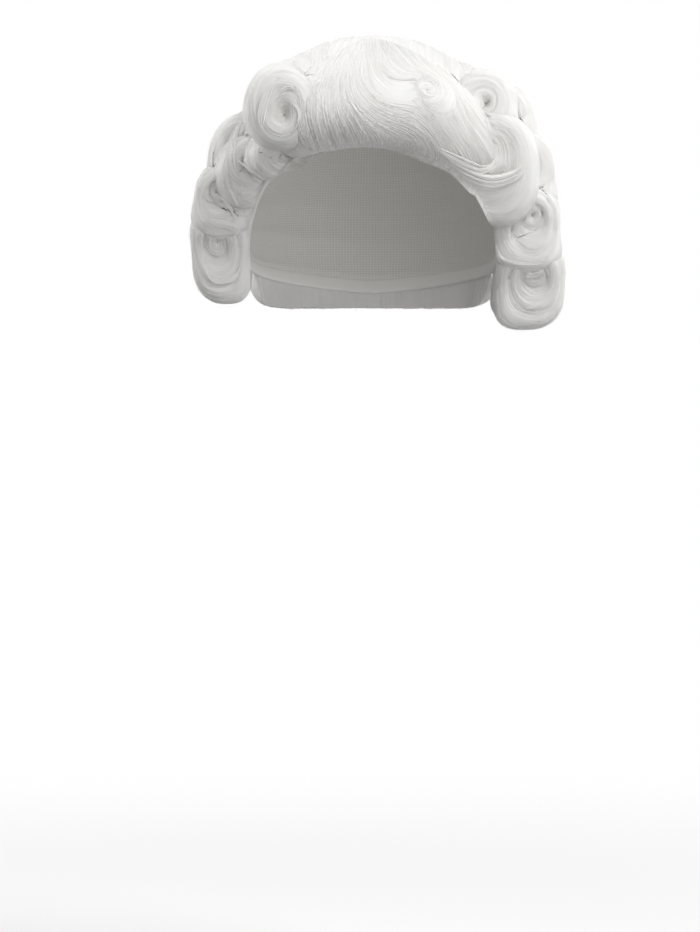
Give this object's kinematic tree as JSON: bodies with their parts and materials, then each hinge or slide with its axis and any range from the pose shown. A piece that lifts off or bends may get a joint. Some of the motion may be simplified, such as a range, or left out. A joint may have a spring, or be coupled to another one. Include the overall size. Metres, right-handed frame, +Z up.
{
  "type": "powdered wig",
  "caption": "Short powdered wig on a fitted cap: a swept-up roll over the forehead, a combed crown, barrel curls down both sides and a turned-under nape.",
  "frame": {"origin": "head seat: the top of the inside of the cap, where it sits on the wearer's crown", "axes": "+Z up, -Y out of the forehead, +X to the viewer's right seen from the front"},
  "size_m": [0.225, 0.2199, 0.1777],
  "materials": {
    "hair": "white hair, combed and curled, powdered, soft satin",
    "cap": "fine pale woven net with rows of sewn weft"
  },
  "bodies": {
    "root": {"wig_cap": "cap", "crown_hair": "hair", "back_hair": "hair", "nape_roll": "hair", "front_roll": "hair", "curl_left_top": "hair", "curl_left_temple": "hair", "curl_left_ear": "hair", "curl_left_outer": "hair", "curl_left_cheek": "hair", "curl_left_jaw": "hair", "curl_right_crest": "hair", "curl_right_top": "hair", "curl_right_upper": "hair", "curl_right_temple": "hair", "curl_right_outer": "hair", "curl_right_cheek": "hair", "curl_right_jaw": "hair"}
  },
  "joints": []
}
